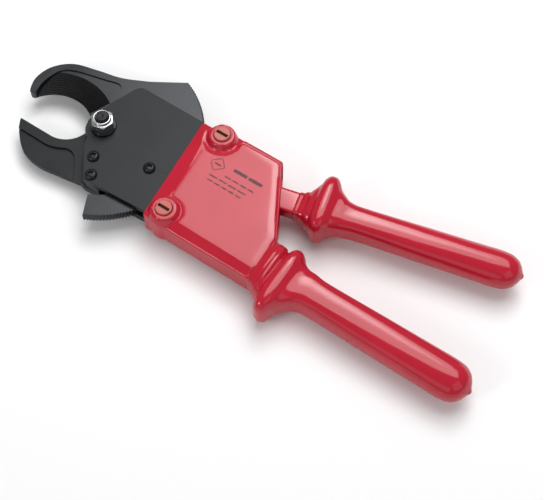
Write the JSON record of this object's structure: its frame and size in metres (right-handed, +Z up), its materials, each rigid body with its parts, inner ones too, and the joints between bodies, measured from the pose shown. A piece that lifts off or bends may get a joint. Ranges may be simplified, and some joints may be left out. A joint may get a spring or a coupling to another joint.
{
  "type": "ratchet cable cutter",
  "caption": "Ratchet cable cutter: a hooked blade on a toothed sector closes past a fixed jaw, with an insulating boot over the head and collared insulated handles.",
  "frame": {"origin": "on the blade pivot axis, on the outer flat of the pivot bolt's head", "axes": "+X back along the fixed handle, +Y towards the moving handle, +Z up to the pivot nut"},
  "size_m": [0.3354, 0.1205, 0.0327],
  "materials": {
    "black_steel": "black oxide, satin",
    "blade_steel": "black oxide over ground steel",
    "dark_steel": "black oxide",
    "bright_steel": "zinc plated or plain",
    "bronze": "plain",
    "nylon": "plain",
    "red_insulation": "glossy moulded insulation"
  },
  "bodies": {
    "frame": {"rear_frame_plate": "black_steel", "front_plate": "black_steel", "jaw_spacer": "dark_steel", "tang_spacer": "dark_steel", "blade_bush": "bronze", "pivot_bolt": "dark_steel", "pivot_washer": "bright_steel", "pivot_nut": "bright_steel", "nut_insert": "nylon", "jaw_screw_upper": "dark_steel", "jaw_screw_lower": "dark_steel", "stop_screw": "dark_steel", "stop_sleeve": "bright_steel", "insulating_boot": "red_insulation", "cover_screw_upper": "red_insulation", "cover_screw_lower": "red_insulation", "cover_nut_upper": "red_insulation", "cover_nut_lower": "red_insulation", "handle_pivot_pin": "bright_steel", "fixed_grip": "red_insulation", "holding_pawl_pin": "bright_steel", "holding_pawl_spring": "bright_steel", "tang_rivet_front": "bright_steel", "tang_rivet_rear": "bright_steel"},
    "blade": {"moving_blade": "blade_steel"},
    "handle": {"moving_lever": "dark_steel", "moving_grip": "red_insulation", "drive_pawl_pin": "bright_steel", "drive_pawl_spring": "bright_steel"},
    "drive_pawl": {"drive_pawl": "bright_steel"},
    "holding_pawl": {"holding_pawl": "bright_steel"}
  },
  "joints": [
    {"name": "blade_swing", "type": "hinge", "parent": "frame", "child": "blade", "pos_m": [0, 0, 0.0136], "axis": [0, 0, 1], "range_deg": [0, 64.8]},
    {"name": "handle_swing", "type": "hinge", "parent": "frame", "child": "handle", "pos_m": [0.07922, 0.01113, 0.0136], "axis": [0, 0, 1], "range_deg": [-9, 18]},
    {"name": "drive_pawl_swing", "type": "hinge", "parent": "handle", "child": "drive_pawl", "pos_m": [0.07076, -0.00077, 0.015], "axis": [0, 0, 1], "range_deg": [0, 4.7]},
    {"name": "holding_pawl_swing", "type": "hinge", "parent": "frame", "child": "holding_pawl", "pos_m": [0.06934, -0.01679, 0.0125], "axis": [0, 0, 1], "range_deg": [0, 4.4]}
  ]
}
